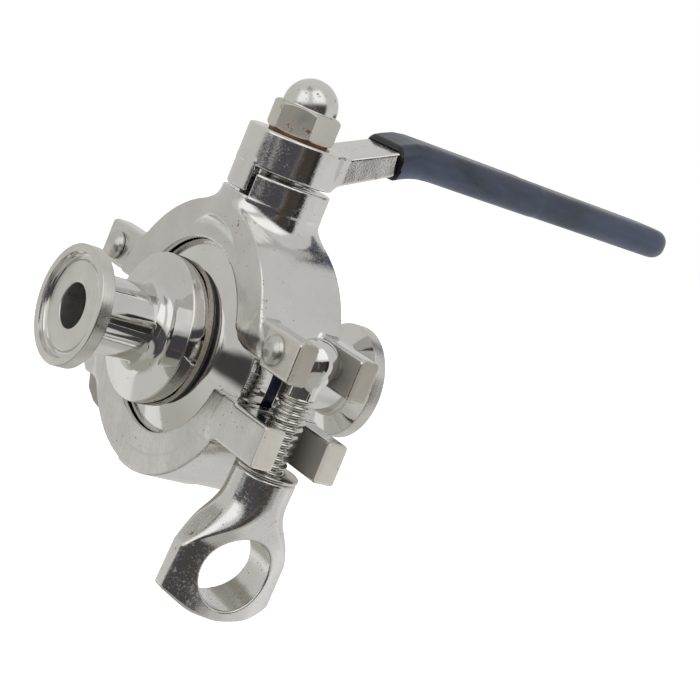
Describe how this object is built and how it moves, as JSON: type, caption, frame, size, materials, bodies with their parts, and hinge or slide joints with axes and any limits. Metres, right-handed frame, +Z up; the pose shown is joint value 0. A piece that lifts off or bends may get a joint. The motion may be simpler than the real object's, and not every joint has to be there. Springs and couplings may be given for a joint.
{
  "type": "clamp-body ball valve",
  "caption": "Hygienic quarter-turn ball valve: clamp ferrule ends, hinged two-half clamp body with swing bolt and ring nut, cranked lever with vinyl grip.",
  "frame": {"origin": "centre of the ball, on the axis of the flow bore, halfway between the two ferrule faces", "axes": "+X along the flow bore towards the outlet and along the open lever, +Z up the stem, +Y towards the clamp's hinge (the swing bolt is on -Y)"},
  "size_m": [0.143, 0.0823, 0.1062],
  "materials": {
    "polished_stainless": "mirror polished",
    "cast_stainless": "satin with polished edges",
    "machined_stainless": "fine turned",
    "rusted_steel": "surface rust",
    "vinyl": "satin vinyl",
    "gasket_rubber": "matte",
    "seat_ptfe": "satin",
    "filled_ptfe": "satin"
  },
  "bodies": {
    "clamp_body": {"upper_clamp_half": "cast_stainless", "inlet_cap": "polished_stainless", "outlet_cap": "polished_stainless", "body_gasket": "gasket_rubber", "inlet_seat": "seat_ptfe", "outlet_seat": "seat_ptfe", "hinge_rivet": "polished_stainless", "bolt_rivet": "polished_stainless", "thrust_washer": "filled_ptfe", "stem_packing": "seat_ptfe", "stem_bush": "filled_ptfe"},
    "lever": {"ball": "polished_stainless", "stem": "machined_stainless", "stem_o_rings": "gasket_rubber", "lever_handle": "polished_stainless", "vinyl_grip": "vinyl", "lock_washer": "rusted_steel", "acorn_nut": "machined_stainless"},
    "lower_half": {"lower_clamp_half": "cast_stainless"},
    "bolt": {"swing_bolt": "machined_stainless"},
    "washer": {"bolt_washer": "machined_stainless"},
    "nut": {"ring_nut": "polished_stainless"}
  },
  "joints": [
    {"name": "lever_turn", "type": "hinge", "parent": "clamp_body", "child": "lever", "pos_m": [0, 0, 0], "axis": [0, 0, 1], "range_deg": [-90, 0]},
    {"name": "bolt_swing", "type": "hinge", "parent": "clamp_body", "child": "bolt", "pos_m": [0, -0.0345, 0.0088], "axis": [-1, 0, 0], "range_deg": [0, 100]},
    {"name": "nut_travel", "type": "slide", "parent": "bolt", "child": "washer", "axis": [0, 0.0523, -0.9986], "range_m": [0, 0.008]},
    {"name": "nut_spin", "type": "hinge", "parent": "washer", "child": "nut", "pos_m": [0, -0.03322, -0.01567], "axis": [0, 0.0523, -0.9986], "range_deg": [0, 1801]},
    {"name": "clamp_drop", "type": "hinge", "parent": "clamp_body", "child": "lower_half", "pos_m": [0, 0.0345, 0.0088], "axis": [1, 0, 0], "range_deg": [0, 6]}
  ],
  "couplings": [
    {"joint": "nut_spin", "follows": "nut_travel", "rad_per_m": 3927},
    {"joint": "clamp_drop", "follows": "nut_travel", "rad_per_m": 12.8}
  ]
}
